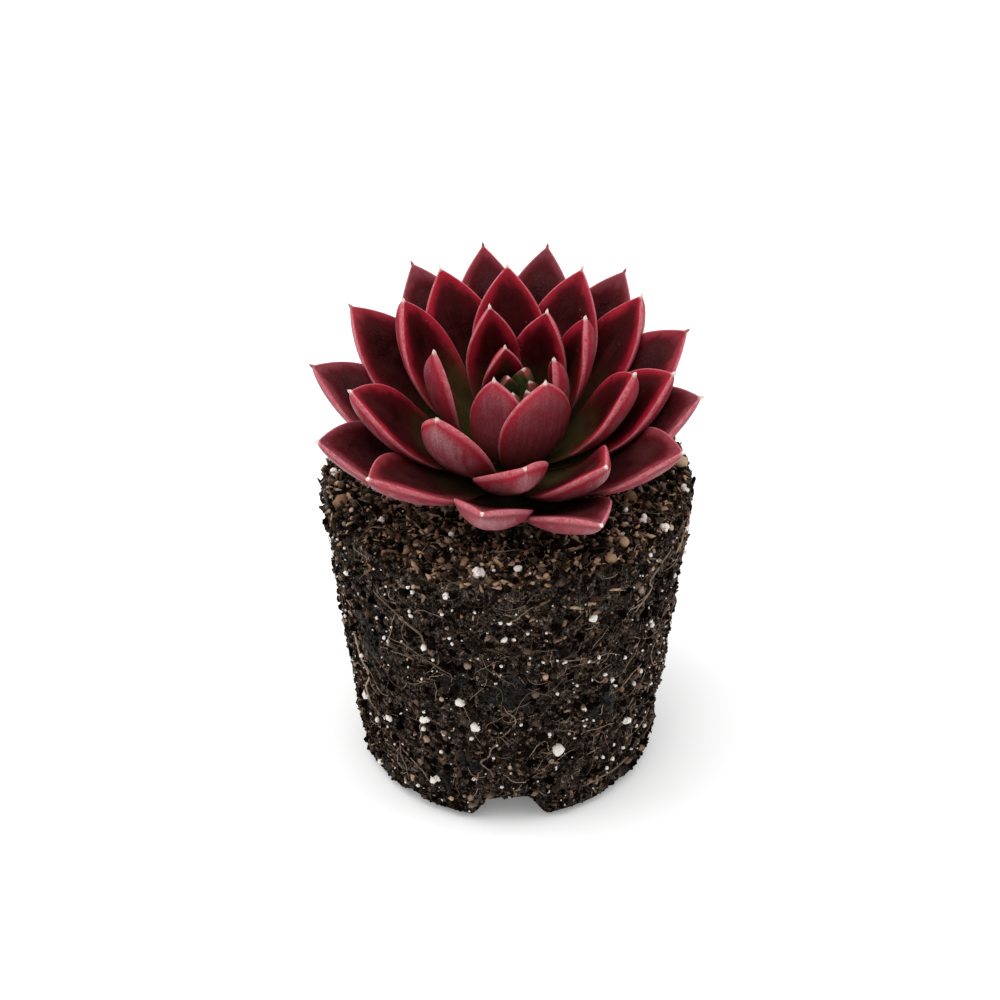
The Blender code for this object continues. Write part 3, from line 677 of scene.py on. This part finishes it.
def make_rosette(flesh, bud_flesh):
    """All leaves and the bud."""
    meshes = []
    for index in range(len(LEAVES)):
        points, faces, marks = make_blade(index).mesh(LEAF_FINENESS)
        towards_viewer = -math.sin(math.radians(LEAVES[index][0]))
        marks["inner"] = np.full(len(points), index / (len(LEAVES) - 1))
        # How far a leaf faces the viewer; its spike is painted in shade when it faces away.
        marks["spike_lit_front"] = np.full(len(points), smooth_step(-0.2, 0.4, towards_viewer))
        meshes.append((points, faces, marks))
    press_apart(meshes)
    for index, mesh in enumerate(meshes):
        number = f"{index + 1:02d}"
        add_piece(f"fleshy_leaf_{number}", *mesh, flesh, "leaf_flesh", (f"leaf_{number}",))
    make_bud(bud_flesh)


def make_bud(material):
    """The small unopened leaves in the middle."""
    parts = []
    start = (0.9, STEM_TOP + GAP + 0.6)
    for number, (direction, reach, height, width) in enumerate(BUD_LEAVES):
        blade = Blade(direction, start, (reach, height), width, width * 0.6, (60.0, 86.0),
                      seed=number, spike=BUD_SPIKE)
        parts.append(blade.mesh(BUD_FINENESS))
    parts.append(bud_core(parts[0][2]))
    add_piece("unopened_bud", *joined(parts), material, "bud_flesh", ("centre_bud",))


def bud_core(like):
    """A short round core that carries the small leaves, with every mark of theirs at nought."""
    turn = TURN * np.arange(BUD_CORE_SIDES)[:, None] / BUD_CORE_SIDES
    rings = [CROWN + RIGHT * radius * np.cos(turn) + BACK * radius * np.sin(turn)
             + UP * (STEM_TOP + GAP + height) for height, radius in BUD_CORE_RINGS]
    ends = [CROWN + UP * (STEM_TOP + GAP), CROWN + UP * (STEM_TOP + GAP + BUD_CORE_HEIGHT)]
    points = np.concatenate(rings + [ends])
    marks = {key: np.zeros((len(points),) + values.shape[1:]) for key, values in like.items()}
    return points, outward(points, ring_faces(len(BUD_CORE_RINGS), BUD_CORE_SIDES)), marks


def joined(parts):
    """Several meshes with the same marks as one."""
    points, faces, marks = [], [], {}
    start = 0
    for part_points, part_faces, part_marks in parts:
        points.append(part_points)
        faces.append(part_faces + start)
        start += len(part_points)
        for key, values in part_marks.items():
            marks.setdefault(key, []).append(values)
    return np.concatenate(points), np.concatenate(faces), {k: np.concatenate(v) for k, v in marks.items()}


def lumps(angle, height):
    """Smooth unevenness of the plug's surface, the same as on the solid."""
    total = 0.0
    for k, (turns, rate) in enumerate(((3, 0.07), (5, 0.16), (8, 0.21), (11, 0.33), (7, -0.26), (13, 0.12),
                                       (17, -0.4), (10, -0.52), (21, 0.27))):
        total = total + np.cos(turns * angle + rate * height + 1.9 * k * k)
    return total * LUMP_SIZE / 3.0


def polar(angle, radius, height):
    """Points at a direction, a distance from the plug's axis and a height."""
    return np.stack(np.broadcast_arrays(radius * np.cos(angle), radius * np.sin(angle), height), -1)


def degrees_away(angle, middle):
    """Degrees between a direction in radians and one in degrees, the shorter way round."""
    return np.abs((np.degrees(angle) % 360.0 - middle + 180.0) % 360.0 - 180.0)


def foot_cut(angle):
    """How far the lower edge is broken back in this direction."""
    cut = FOOT_EDGE_DROP
    for middle, half, depth in FOOT_NOTCHES:
        part = depth * np.clip((half * 1.25 - degrees_away(angle, middle)) / (half * 0.4), 0.0, 1.0)
        cut = np.maximum(cut, part)
    return cut


def wall_radius(angle, height):
    """Radius of the plug's wall, with the foot notches, the rounded rim and the lumps."""
    straight = WALL_FOOT_RADIUS + (RIM_RADIUS - WALL_FOOT_RADIUS) * height / PLUG_HEIGHT
    foot = WALL_FOOT_RADIUS - foot_cut(angle) + 1.05 * height
    rim = np.maximum(0.0, height - (PLUG_HEIGHT - 5.0)) / 5.0
    smooth = np.minimum(straight, foot) - RIM_ROUNDING * rim ** 2.2
    return smooth + lumps(angle, height) * np.minimum(1.0, height / 6.0)


def top_height(angle, radius):
    """Height of the plug's top, which drops a little towards the rim."""
    edge = np.clip((radius - 42.0) / 4.6, 0.0, 1.0)
    near_hole = np.clip((radius - HOLE_RADIUS) / 12.0, 0.0, 1.0)
    return PLUG_HEIGHT - RIM_DROP * edge + 1.4 * lumps(angle, 3.0 * radius) * near_hole


def wall_point(degrees, height, out):
    """Points on the wall, moved outwards, and their outward directions."""
    angle = np.radians(degrees)
    slope = (RIM_RADIUS - WALL_FOOT_RADIUS) / PLUG_HEIGHT
    return polar(angle, wall_radius(angle, height) + out, height), unit(polar(angle, 1.0, -slope))


def top_point(degrees, radius, above):
    """Points on the top, moved up, and their upward directions."""
    angle = np.radians(degrees)
    points = polar(angle, radius, top_height(angle, radius) + above)
    return points, np.broadcast_to([0.0, 0.0, 1.0], points.shape)


def pressed_share(angle, height):
    """How far a point of the wall lies inside a smooth pressed patch."""
    share = 0.0
    ragged = 0.22 * np.sin(9.0 * angle * 4.0 + height) + 0.18 * np.sin(1.3 * height + 30.0 * angle)
    for middle, level, half_width, half_height in PRESSED_PATCHES:
        away = degrees_away(angle, middle) * math.radians(1.0) * PATCH_WALL_RADIUS / half_width
        distance = np.hypot(away, (height - level) / half_height) + ragged
        share = np.maximum(share, 1.0 - smooth_step(0.8, 1.05, distance))
    return share


def rough_at(points, sizes):
    """Crumbly relief from rounded cells of several sizes, one number per point."""
    relief = np.zeros(points.shape[:-1])
    for at in np.ndindex(relief.shape):
        for size, depth in sizes:
            distances, _ = noise.voronoi(Vector(points[at] / size))
            relief[at] += depth * (0.45 - distances[0])
    return relief


def make_plug(material):
    """The plug's own surface: flat foot, crumbly wall, loose top and a plain hole."""
    angles = np.linspace(0.0, TURN, AROUND, endpoint=False)
    foot = [polar(angles, radius, 0.0) for radius in (*FOOT_RINGS, WALL_FOOT_RADIUS - foot_cut(angles))]
    wall = np.array([polar(angles, wall_radius(angles, height), height)
                     for height in np.linspace(LOWEST_WALL_RING, PLUG_HEIGHT - WALL_RING_DROP, WALL_ROWS)])
    top = np.array([polar(angles, radius, top_height(angles, radius))
                    for radius in np.linspace(TOP_EDGE_RADIUS, HOLE_RADIUS + 0.4, TOP_ROWS)])
    hole = [polar(angles, HOLE_RADIUS, PLUG_HEIGHT - depth) + (CROWN_X, CROWN_Y, 0.0)
            for depth in (0.5, HOLE_DEPTH)]
    pressed = pressed_share(angles, wall[..., 2])
    relief = rough_at(wall, WALL_RELIEF) * (1.0 - 0.85 * pressed) - 0.15
    wall += (relief * np.minimum(1.0, wall[..., 2] / 5.0))[..., None] * polar(angles, 1.0, 0.0)
    top[..., 2] += rough_at(top, TOP_RELIEF) - 0.2
    rings = np.concatenate([foot, wall, top, hole])
    ends = [(0.0, 0.0, 0.0), (CROWN_X, CROWN_Y, PLUG_HEIGHT - HOLE_DEPTH)]
    points = np.concatenate([rings.reshape(-1, 3), ends])
    before = len(foot) * AROUND
    marks = {"pressed": np.pad(pressed.ravel(), (before, len(points) - before - pressed.size))}
    faces = outward(points, ring_faces(len(rings), AROUND))
    add_piece("plug_of_mix", points, faces, marks, material, "potting_mix", ("root_ball",))


def ball_shape(level):
    """Unit sphere of triangles: level 1 has 20 and level 2 has 80."""
    made = bmesh.new()
    bmesh.ops.create_icosphere(made, subdivisions=level, radius=1.0)
    points = np.array([v.co[:] for v in made.verts])
    faces = np.array([[v.index for v in f.verts] for f in made.faces])
    made.free()
    return points, faces


SHARD = (np.array([(-1, -1, -1), (1, -1, -1), (1, 1, -1), (-1, 1, -1),
                   (-1, -1, 1), (1, -1, 1), (1, 1, 1), (-1, 1, 1)], float),
         np.array([(0, 2, 1), (0, 3, 2), (4, 5, 6), (4, 6, 7), (0, 1, 5), (0, 5, 4),
                   (1, 2, 6), (1, 6, 5), (2, 3, 7), (2, 7, 6), (3, 0, 4), (3, 4, 7)]))


def strew(shape, centres, ups, sizes, jitter, chance, tilt=0.35):
    """Copies of a small shape, each turned, stretched to its three sizes and roughened by chance."""
    form, faces = shape
    count = len(centres)
    ups = unit(ups + chance.normal(0.0, tilt, (count, 3)))
    side = unit(np.cross(ups, chance.normal(0.0, 1.0, (count, 3))))
    third = np.cross(ups, side)
    axes = np.stack([side, third, ups], 1)
    bodies = form * (1.0 + chance.normal(0.0, jitter, (count, len(form), 1))) * sizes[:, None]
    points = centres[:, None] + np.einsum("nvk,nkd->nvd", bodies, axes)
    all_faces = faces + (np.arange(count) * len(form))[:, None, None]
    return points.reshape(-1, 3), all_faces.reshape(-1, 3), np.repeat(np.arange(count), len(form))


def wall_spots(count, chance, lowest):
    """Random places on the wall."""
    return chance.uniform(0.0, 360.0, count), chance.uniform(lowest, HIGHEST_BIT, count)


def top_spots(count, chance, inner=9.0, outer=47.0):
    """Random places on the top, even over its area."""
    return chance.uniform(0.0, 360.0, count), np.sqrt(chance.uniform(inner ** 2, outer ** 2, count))


def spots_on_plug(on_wall, on_top, chance, sink, lowest=2.5):
    """Centres and directions for bits on the wall, few of them on its pressed patches, and on the top."""
    degrees, heights = wall_spots(on_wall, chance, lowest)
    clear = pressed_share(np.radians(degrees), heights) < chance.uniform(0.2, 1.4, on_wall)
    wall, wall_out = wall_point(degrees[clear], heights[clear], -sink)
    top, top_up = top_point(*top_spots(on_top, chance), -sink)
    return np.concatenate([wall, top]), np.concatenate([wall_out, top_up])


def add_bits(name, parts, material, smooth=True):
    """Adds meshes with the same marks as one piece of the mix."""
    add_piece(name, *joined(parts), material, "potting_mix", smooth=smooth)


def make_crumbs(material):
    """Crumbs of mix: thousands of small uneven lumps, and some larger ones."""
    for name, wall_counts, top_counts, light_share_partly_painted_light, seed in CRUMBS:
        chance = np.random.default_rng(seed)
        parts = []
        for on_wall, on_top, (low, high) in zip(wall_counts, top_counts, CRUMB_RADII):
            centres, ups = spots_on_plug(on_wall, on_top, chance, 0.2, 1.7 * high)
            count = len(centres)
            size = chance.uniform(low, high, (count, 1)) * chance.uniform(0.65, 1.3, (count, 3))
            points, faces, owner = strew(ball_shape(1), centres, ups, size, 0.14, chance)
            # Tone per crumb; the top's lighter crumbs are partly painted light that offsets the leaves'
            # shade.
            parts.append((points, faces, {"tone": chance.beta(light_share_partly_painted_light, 1.9, count)[owner]}))
        add_bits(name, parts, material, smooth=False)


def make_bark_bits(material):
    """Flat splinters of bark and coir, brown to tan, larger and lighter near the top, the lighter tone there
    partly painted light.
    """
    chance = np.random.default_rng(12)
    centres, ups = spots_on_plug(*BARK_COUNTS, chance, 0.05)
    count = len(centres)
    high = centres[:, 2] > BROWN_LEVEL
    length = np.minimum(chance.gamma(2.2, 0.26, count) + 0.35, 1.7) * np.where(high, 1.15, 0.8)
    size = np.array([length, length * chance.uniform(0.14, 0.45, count), chance.uniform(0.12, 0.3, count)]).T
    tilt = np.where(high, 0.6, 0.35)[:, None]
    points, faces, owner = strew(SHARD, centres, ups, size, 0.22, chance, tilt)
    # Lighter tones above the brown level: partly more tan bark, partly painted light against the leaves'
    # shade.
    tone = chance.beta(np.where(high, 1.1, 1.0), np.where(high, 0.9, 1.7))
    add_bits("bark_bits", [(points, faces, {"tone": tone[owner]})], material, smooth=False)


def make_perlite(material):
    """White grains: many small ones, and a few large ones of several lobes each."""
    chance = np.random.default_rng(13)
    centres, ups = spots_on_plug(*PERLITE_COUNTS, chance, 0.0)
    count = len(centres)
    size = (0.14 + chance.gamma(1.4, 0.16, count))[:, None] * chance.uniform(0.75, 1.25, (count, 3))
    points, faces, owner = strew(ball_shape(1), centres, ups, size, 0.1, chance)
    parts = [(points, faces, {"dirt": chance.uniform(0.0, 1.0, count)[owner]})]
    wall = np.array(WALL_PERLITE).T
    top = np.array(TOP_PERLITE).T
    wall_at, wall_out = wall_point(wall[0], wall[1], -0.1 * wall[2])
    top_at, top_up = top_point(top[0], top[1], 0.1 * top[2])
    radius = np.repeat(np.concatenate([wall[2], top[2]]), PERLITE_LOBES)[:, None]
    centres = np.repeat(np.concatenate([wall_at, top_at]), PERLITE_LOBES, axis=0)
    centres += chance.uniform(-0.42, 0.42, centres.shape) * radius
    ups = np.repeat(np.concatenate([wall_out, top_up]), PERLITE_LOBES, axis=0)
    size = radius * chance.uniform(0.5, 0.85, (len(centres), 3))
    points, faces, owner = strew(ball_shape(2), centres, ups, size, 0.09, chance)
    parts.append((points, faces, {"dirt": np.full(len(points), 0.7)}))
    add_bits("perlite_grains", parts, material)


def make_stones(material):
    """Tan mineral grains, most of them on the top."""
    chance = np.random.default_rng(14)
    named = np.array(TOP_STONES)
    centres, ups = top_point(named[:, 0], named[:, 1], 0.2)
    size = named[:, 2:3] * chance.uniform(0.8, 1.15, (len(named), 3))
    more, more_ups = spots_on_plug(*STONE_COUNTS, chance, 0.0)
    small = chance.uniform(0.4, 1.0, (len(more), 1)) * chance.uniform(0.6, 1.25, (len(more), 3))
    centres, ups, size = (np.concatenate(both) for both in ((centres, more), (ups, more_ups), (size, small)))
    points, faces, owner = strew(ball_shape(2), centres, ups, size, 0.08, chance)
    tone = chance.uniform(0.1, 0.9, len(centres))
    add_bits("tan_grains", [(points, faces, {"tone": tone[owner]})], material)


def tube(line, radius, sides=5):
    """A thin round strand along a list of points, tapered at both ends."""
    count = len(line)
    run = unit(np.gradient(line, axis=0))
    side = unit(np.cross(run, [0.31, 0.52, 0.79]))
    third = np.cross(run, side)
    turn = np.linspace(0.0, TURN, sides, endpoint=False)[:, None]
    along = np.linspace(0.0, 1.0, count)
    girth = radius * (0.35 + 0.65 * np.minimum(1.0, 6.0 * np.minimum(along, 1.0 - along)))
    around = side[:, None] * np.cos(turn) + third[:, None] * np.sin(turn)
    points = (line[:, None] + girth[:, None, None] * around).reshape(-1, 3)
    last = (count - 1) * sides
    caps = [(0, k + 1, k) for k in range(1, sides - 1)]
    caps += [(last, last + k, last + k + 1) for k in range(1, sides - 1)]
    return points, outward(points, np.concatenate([grid_faces(count, sides), caps]))


def wander(place, move, heading, steps, chance, waves, proud, dip):
    """Places along a strand whose heading drifts, and how far each stands off; its first end dips in."""
    places = []
    bend = chance.normal(0.0, 0.16)
    for _ in range(steps):
        places.append(place)
        heading += bend + chance.normal(0.0, 0.22)
        bend = 0.7 * bend + chance.normal(0.0, 0.07)
        place = move(*place, heading)
    share = np.linspace(0.0, 1.0, steps)
    off = proud[0] + proud[1] * np.sin(share * chance.uniform(*waves) + chance.uniform(0, 6))
    return *np.transpose(places), off - dip * (share < 0.05)


def wander_on_wall(degrees, height, heading, steps, stride, chance):
    """A strand's line that wanders over the wall."""
    def move(degrees, height, heading):
        height = min(max(height + stride * math.sin(heading), LOWEST_ROOT), HIGHEST_ROOT)
        return degrees + math.degrees(stride * math.cos(heading) / MEAN_WALL_RADIUS), height

    start = (degrees, height)
    return wall_point(*wander(start, move, heading, steps, chance, (4.0, 9.0), (0.25, 0.3), 1.2))[0]


def wander_on_top(degrees, radius, heading, steps, stride, chance):
    """A strand's line that wanders over the top, inside its rim."""
    def inside(x, y):
        far = math.hypot(x, y)
        return (x * ROOT_RIM / far, y * ROOT_RIM / far) if far > ROOT_RIM else (x, y)

    def move(x, y, heading):
        return inside(x + stride * math.cos(heading), y + stride * math.sin(heading))

    angle = math.radians(degrees)
    start = inside(radius * math.cos(angle), radius * math.sin(angle))
    x, y, off = wander(start, move, heading, steps, chance, (3.0, 8.0), (0.7, 0.7), 1.5)
    return top_point(np.degrees(np.arctan2(y, x)), np.hypot(x, y), off)[0]


def make_roots(material):
    """Fine roots and fibres over the wall and the top, and the named thicker ones."""
    chance = np.random.default_rng(15)
    strands = []
    kinds = ((wall_spots, LOWEST_ROOT, wander_on_wall, (6, 24)),
             (top_spots, INNERMOST_ROOT, wander_on_top, (8, 26)))
    for count, (spots, least, line_on, lengths) in zip(FINE_ROOT_COUNTS, kinds):
        for _ in range(count):
            degrees, level = (float(v[0]) for v in spots(1, chance, least))
            steps = int(chance.integers(*lengths))
            heading = chance.uniform(0, 6.28)
            line = line_on(degrees, level, heading, steps, chance.uniform(*FINE_ROOT_STRIDES), chance)
            strands.append((line, chance.uniform(*FINE_ROOT_RADII)))
    for number, (degrees_a, height_a, degrees_b, height_b) in enumerate(WALL_ROOTS):
        share = np.linspace(0.0, 1.0, 26)
        sway = 2.5 * np.sin(TURN * share + number) + 0.8 * np.sin(17.0 * share + number)
        degrees = degrees_a + (degrees_b - degrees_a) * share + sway
        heights = height_a + (height_b - height_a) * share
        line, _ = wall_point(degrees, heights, 0.3 - 1.0 * ((share < 0.02) | (share > 0.98)))
        strands.append((line, ROOT_RADIUS))
    meshes = []
    for line, radius in strands:
        points, faces = tube(line, radius)
        meshes.append((points, faces, {"tone": np.full(len(points), chance.uniform(0.05, 0.95))}))
    add_bits("fine_roots", meshes, material)


def make_stage():
    """A plain pale floor that glows a little, a bright sky and three soft lamps."""
    bpy.ops.mesh.primitive_plane_add(size=FLOOR_SIZE, location=(0.0, 0.0, FLOOR_LEVEL))
    floor = bpy.context.active_object
    floor.name = "pale_floor"
    s = Shader("floor_pale")
    white = s.mix(s.noise(s.place(), 40.0, 2.0), (0.93, 0.93, 0.93), (0.95, 0.95, 0.95))
    floor.data.materials.append(s.finish(Base_Color=white, Roughness=0.9, Emission_Color=(1.0, 1.0, 1.0),
                                         Emission_Strength=FLOOR_GLOW))
    scene = bpy.context.scene
    scene.view_settings.view_transform = "Standard"
    world = bpy.data.worlds.new("studio_sky")
    world.use_nodes = True
    scene.world = world
    nodes, links = world.node_tree.nodes, world.node_tree.links
    both = nodes.new("ShaderNodeMixShader")
    links.new(nodes.new("ShaderNodeLightPath").outputs["Is Camera Ray"], both.inputs[0])
    for entry, glow, strength in ((1, nodes["Background"], SKY_STRENGTH),
                                  (2, nodes.new("ShaderNodeBackground"), BACKGROUND_STRENGTH)):
        glow.inputs["Strength"].default_value = strength
        glow.inputs["Color"].default_value = (1.0, 1.0, 1.0, 1.0)
        links.new(glow.outputs[0], both.inputs[entry])
    links.new(both.outputs[0], nodes["World Output"].inputs["Surface"])
    for name, place, power in LAMPS:
        lamp = bpy.data.lights.new(name, "AREA")
        lamp.shape = "RECTANGLE"
        lamp.size = lamp.size_y = LAMP_SIZE
        lamp.energy = power
        holder = bpy.data.objects.new(name, lamp)
        holder.location = place
        holder.rotation_euler = (Vector(AIM) - Vector(place)).to_track_quat("-Z", "Y").to_euler()
        scene.collection.objects.link(holder)


def make_camera():
    """A long lens that looks down at the rosette, with the plug's top centre on its own pixel."""
    focal_pixels = RIM_RADIUS_PIXELS * CAMERA_DISTANCE / RIM_RADIUS_METRES
    lean = math.radians(CAMERA_ELEVATION)
    right = Vector((1.0, 0.0, 0.0))
    up = Vector((0.0, math.sin(lean), math.cos(lean)))
    look = Vector((0.0, math.cos(lean), -math.sin(lean)))
    across, down = ((pixel - 0.5 * PICTURE_WIDTH) / focal_pixels * CAMERA_DISTANCE
                    for pixel in RIM_CENTRE_PIXELS)
    place = Vector((0.0, 0.0, PLUG_HEIGHT * MILLIMETRE)) - look * CAMERA_DISTANCE - right * across + up * down
    data = bpy.data.cameras.new("photo_camera")
    data.sensor_width = SENSOR_WIDTH
    data.lens = focal_pixels * SENSOR_WIDTH / PICTURE_WIDTH
    data.clip_start, data.clip_end = 0.05, 40.0
    camera = bpy.data.objects.new("photo_camera", data)
    turn = Matrix((right, up, -look)).transposed()
    camera.matrix_world = Matrix.Translation(place) @ turn.to_4x4()
    bpy.context.scene.collection.objects.link(camera)
    bpy.context.scene.camera = camera


def main():
    make_camera()
    make_stage()
    make_rosette(leaf_material(), bud_material())
    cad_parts["stem"].data.materials.clear()
    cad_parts["stem"].data.materials.append(stem_material())
    make_plug(soil_material())
    make_crumbs(chunk_material("mix_crumbs", CRUMB_STOPS, 0.85))
    make_bark_bits(chunk_material("bark_brown", BARK_STOPS, 0.75))
    make_perlite(perlite_material())
    make_stones(chunk_material("mineral_tan", STONE_STOPS, 0.7))
    make_roots(chunk_material("root_tan", ROOT_STOPS, 0.65))


main()
